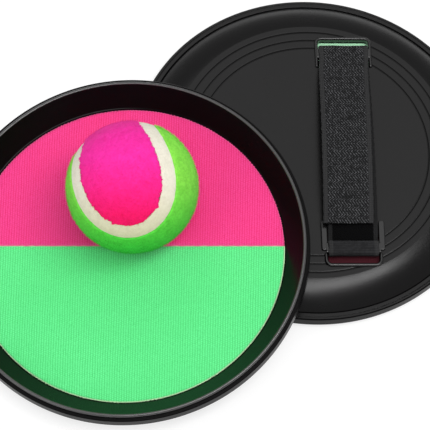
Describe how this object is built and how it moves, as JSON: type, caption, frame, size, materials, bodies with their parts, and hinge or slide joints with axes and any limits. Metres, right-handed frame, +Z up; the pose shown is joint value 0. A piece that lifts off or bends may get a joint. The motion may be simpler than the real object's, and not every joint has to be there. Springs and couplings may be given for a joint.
{
  "type": "hook and loop catch set",
  "caption": "Toy catch game: round dished paddles with pink and green cling pads and hand straps behind, lying overlapped, with a felt ball held on the upper pad.",
  "frame": {"origin": "on the floor, below the middle of the whole set", "axes": "+Z up off the floor, +Y along the back paddle's strap and away from the viewer, +X to the viewer's right"},
  "size_m": [0.2742, 0.2376, 0.0819],
  "materials": {
    "shell_black": "moulded black plastic, satin on the back and glossy on the sloped inner wall",
    "pink_fabric": "ribbed hook fabric, bright pink",
    "green_fabric": "ribbed hook fabric, light green",
    "strap_black": "black webbing in a zigzag weave with plain edges",
    "hook_black": "black hook tape",
    "pink_felt": "fuzzy bright pink felt",
    "green_felt": "fuzzy yellow-green felt",
    "white_felt": "fuzzy off-white felt",
    "core_rubber": "plain dark rubber, hidden under the felt"
  },
  "bodies": {
    "root": {"back_shell": "shell_black", "back_pink_pad": "pink_fabric", "back_green_pad": "green_fabric", "back_strap": "strap_black", "back_strap_hook": "hook_black", "front_shell": "shell_black", "front_pink_pad": "pink_fabric", "front_green_pad": "green_fabric", "front_strap": "strap_black", "front_strap_hook": "hook_black", "ball_core_upper": "core_rubber", "ball_core_lower": "core_rubber", "ball_pink_felt": "pink_felt", "ball_green_felt": "green_felt", "ball_white_band": "white_felt"}
  },
  "joints": []
}
